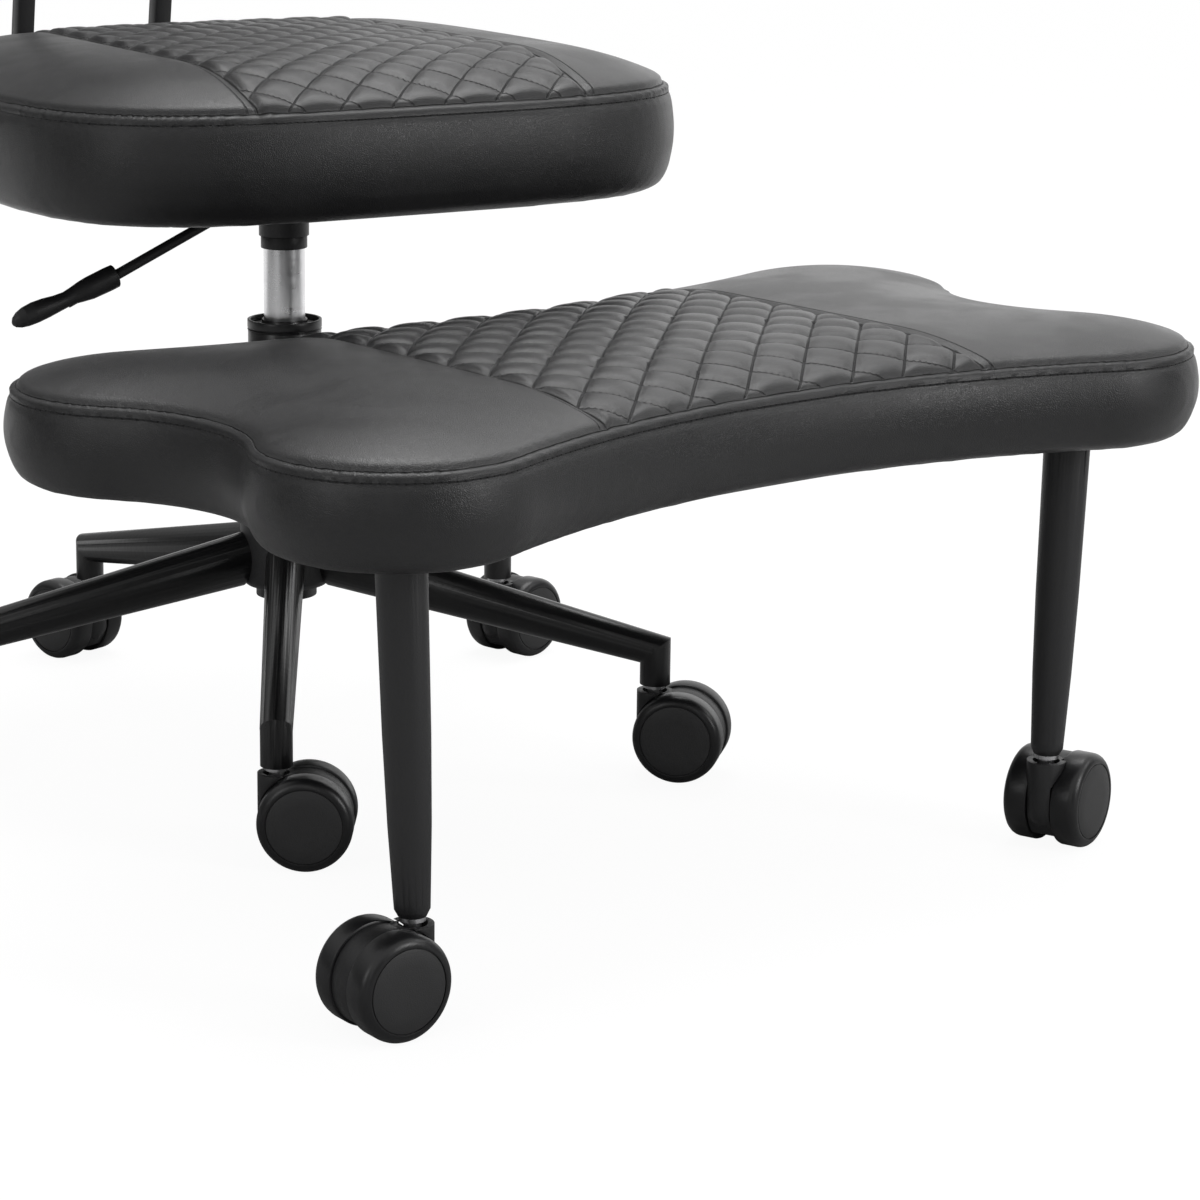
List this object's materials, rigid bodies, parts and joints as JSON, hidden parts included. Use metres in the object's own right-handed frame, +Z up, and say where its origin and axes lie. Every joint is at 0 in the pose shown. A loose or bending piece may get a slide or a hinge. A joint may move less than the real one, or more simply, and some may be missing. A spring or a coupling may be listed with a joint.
{
  "type": "meditation chair",
  "caption": "Swivel chair on a castored star base with a gas-lift padded seat and backrest, and a lower quilted bench in front that swings round the column on castored legs.",
  "frame": {"origin": "on the floor, under the axis of the column", "axes": "+Z up; the bench stands in front, towards -Y; the user's right, where the lever is, is -X"},
  "size_m": [0.7012, 0.9035, 0.7933],
  "materials": {
    "leg_gloss": "gloss black stove enamel",
    "frame_satin": "satin black powder coat",
    "hub_satin": "satin charcoal powder coat",
    "steel": "bright zinc-plated steel",
    "chrome": "polished chrome",
    "bushing": "gloss black",
    "wheel": "gloss black nylon",
    "hood": "satin black nylon",
    "grip": "matt black, moulded",
    "leather": "dark charcoal, fine grain, semi-matt",
    "board": "black-stained plywood"
  },
  "bodies": {
    "base": {"base_hub": "hub_satin", "base_leg_1": "leg_gloss", "base_leg_2": "leg_gloss", "base_leg_3": "leg_gloss", "base_leg_4": "leg_gloss", "base_leg_5": "leg_gloss", "base_castor_stems": "steel", "column_tube": "leg_gloss", "column_bushing": "bushing", "column_clip": "steel", "thrust_bearing": "steel"},
    "spindle": {"gas_rod": "steel"},
    "seat": {"gas_cylinder": "chrome", "taper_sleeve": "hood", "seat_mechanism": "frame_satin", "seat_board": "board", "seat_cushion": "leather", "seat_screws": "steel", "back_bar_left": "frame_satin", "back_bar_right": "frame_satin", "back_board": "board", "back_cushion": "leather"},
    "lever": {"lever_rod": "frame_satin", "lever_grip": "grip"},
    "valve": {"valve_pin": "steel"},
    "bench": {"bench_bracket": "frame_satin", "bench_board": "board", "bench_cushion": "leather", "bench_leg_left": "frame_satin", "bench_leg_right": "frame_satin", "bench_screws": "steel", "bench_castor_stems": "steel"},
    "castor_1": {"castor_1_hood": "hood", "castor_1_axle": "steel"},
    "castor_2": {"castor_2_hood": "hood", "castor_2_axle": "steel"},
    "castor_3": {"castor_3_hood": "hood", "castor_3_axle": "steel"},
    "castor_4": {"castor_4_hood": "hood", "castor_4_axle": "steel"},
    "castor_5": {"castor_5_hood": "hood", "castor_5_axle": "steel"},
    "castor_6": {"castor_6_hood": "hood", "castor_6_axle": "steel"},
    "castor_7": {"castor_7_hood": "hood", "castor_7_axle": "steel"},
    "wheel_1_left": {"castor_1_wheel_left": "wheel"},
    "wheel_1_right": {"castor_1_wheel_right": "wheel"},
    "wheel_2_left": {"castor_2_wheel_left": "wheel"},
    "wheel_2_right": {"castor_2_wheel_right": "wheel"},
    "wheel_3_left": {"castor_3_wheel_left": "wheel"},
    "wheel_3_right": {"castor_3_wheel_right": "wheel"},
    "wheel_4_left": {"castor_4_wheel_left": "wheel"},
    "wheel_4_right": {"castor_4_wheel_right": "wheel"},
    "wheel_5_left": {"castor_5_wheel_left": "wheel"},
    "wheel_5_right": {"castor_5_wheel_right": "wheel"},
    "wheel_6_left": {"castor_6_wheel_left": "wheel"},
    "wheel_6_right": {"castor_6_wheel_right": "wheel"},
    "wheel_7_left": {"castor_7_wheel_left": "wheel"},
    "wheel_7_right": {"castor_7_wheel_right": "wheel"}
  },
  "joints": [
    {"name": "seat_swivel", "type": "hinge", "parent": "base", "child": "spindle", "pos_m": [0, 0, 0.117], "axis": [0, 0, 1], "continuous": true},
    {"name": "seat_lift", "type": "slide", "parent": "spindle", "child": "seat", "axis": [0, 0, 1], "range_m": [-0.035, 0.065]},
    {"name": "lever_pull", "type": "hinge", "parent": "seat", "child": "lever", "pos_m": [-0.02173, 0.00344, 0.38], "axis": [0.1564, 0.9877, 0], "range_deg": [0, 7.8], "stiffness_Nm_per_rad": 1.5, "springref_deg": -5.73},
    {"name": "valve_press", "type": "slide", "parent": "seat", "child": "valve", "axis": [0, 0, 1], "range_m": [-0.0036, 0.0001]},
    {"name": "bench_swing", "type": "hinge", "parent": "base", "child": "bench", "pos_m": [0, 0, 0.2], "axis": [0, 0, 1], "continuous": true},
    {"name": "castor_1_swivel", "type": "hinge", "parent": "base", "child": "castor_1", "pos_m": [0, 0.2615, 0.06], "axis": [0, 0, 1], "continuous": true},
    {"name": "castor_2_swivel", "type": "hinge", "parent": "base", "child": "castor_2", "pos_m": [-0.2487, 0.08081, 0.06], "axis": [0, 0, 1], "continuous": true},
    {"name": "castor_3_swivel", "type": "hinge", "parent": "base", "child": "castor_3", "pos_m": [-0.15371, -0.21156, 0.06], "axis": [0, 0, 1], "continuous": true},
    {"name": "castor_4_swivel", "type": "hinge", "parent": "base", "child": "castor_4", "pos_m": [0.15371, -0.21156, 0.06], "axis": [0, 0, 1], "continuous": true},
    {"name": "castor_5_swivel", "type": "hinge", "parent": "base", "child": "castor_5", "pos_m": [0.2487, 0.08081, 0.06], "axis": [0, 0, 1], "continuous": true},
    {"name": "castor_6_swivel", "type": "hinge", "parent": "bench", "child": "castor_6", "pos_m": [-0.247, -0.4775, 0.06], "axis": [0, 0, 1], "continuous": true},
    {"name": "castor_7_swivel", "type": "hinge", "parent": "bench", "child": "castor_7", "pos_m": [0.247, -0.4775, 0.06], "axis": [0, 0, 1], "continuous": true},
    {"name": "wheel_1_left_roll", "type": "hinge", "parent": "castor_1", "child": "wheel_1_left", "pos_m": [-0.00395, 0.28008, 0.03], "axis": [-0.9781, -0.2079, 0], "continuous": true},
    {"name": "wheel_1_right_roll", "type": "hinge", "parent": "castor_1", "child": "wheel_1_right", "pos_m": [-0.00395, 0.28008, 0.03], "axis": [-0.9781, -0.2079, 0], "continuous": true},
    {"name": "wheel_2_left_roll", "type": "hinge", "parent": "castor_2", "child": "wheel_2_left", "pos_m": [-0.2392, 0.09726, 0.03], "axis": [-0.866, 0.5, 0], "continuous": true},
    {"name": "wheel_2_right_roll", "type": "hinge", "parent": "castor_2", "child": "wheel_2_right", "pos_m": [-0.2392, 0.09726, 0.03], "axis": [-0.866, 0.5, 0], "continuous": true},
    {"name": "wheel_3_left_roll", "type": "hinge", "parent": "castor_3", "child": "wheel_3_left", "pos_m": [-0.13915, -0.22377, 0.03], "axis": [0.6428, 0.766, 0], "continuous": true},
    {"name": "wheel_3_right_roll", "type": "hinge", "parent": "castor_3", "child": "wheel_3_right", "pos_m": [-0.13915, -0.22377, 0.03], "axis": [0.6428, 0.766, 0], "continuous": true},
    {"name": "wheel_4_left_roll", "type": "hinge", "parent": "castor_4", "child": "wheel_4_left", "pos_m": [0.1654, -0.22653, 0.03], "axis": [0.788, 0.6157, 0], "continuous": true},
    {"name": "wheel_4_right_roll", "type": "hinge", "parent": "castor_4", "child": "wheel_4_right", "pos_m": [0.1654, -0.22653, 0.03], "axis": [0.788, 0.6157, 0], "continuous": true},
    {"name": "wheel_5_left_roll", "type": "hinge", "parent": "castor_5", "child": "wheel_5_left", "pos_m": [0.26735, 0.08443, 0.03], "axis": [-0.1908, 0.9816, 0], "continuous": true},
    {"name": "wheel_5_right_roll", "type": "hinge", "parent": "castor_5", "child": "wheel_5_right", "pos_m": [0.26735, 0.08443, 0.03], "axis": [-0.1908, 0.9816, 0], "continuous": true},
    {"name": "wheel_6_left_roll", "type": "hinge", "parent": "castor_6", "child": "wheel_6_left", "pos_m": [-0.26599, -0.47684, 0.03], "axis": [-0.0349, -0.9994, 0], "continuous": true},
    {"name": "wheel_6_right_roll", "type": "hinge", "parent": "castor_6", "child": "wheel_6_right", "pos_m": [-0.26599, -0.47684, 0.03], "axis": [-0.0349, -0.9994, 0], "continuous": true},
    {"name": "wheel_7_left_roll", "type": "hinge", "parent": "castor_7", "child": "wheel_7_left", "pos_m": [0.26507, -0.47163, 0.03], "axis": [-0.309, 0.9511, 0], "continuous": true},
    {"name": "wheel_7_right_roll", "type": "hinge", "parent": "castor_7", "child": "wheel_7_right", "pos_m": [0.26507, -0.47163, 0.03], "axis": [-0.309, 0.9511, 0], "continuous": true}
  ],
  "couplings": [
    {"joint": "valve_press", "follows": "lever_pull", "m_per_rad": -0.0252}
  ]
}
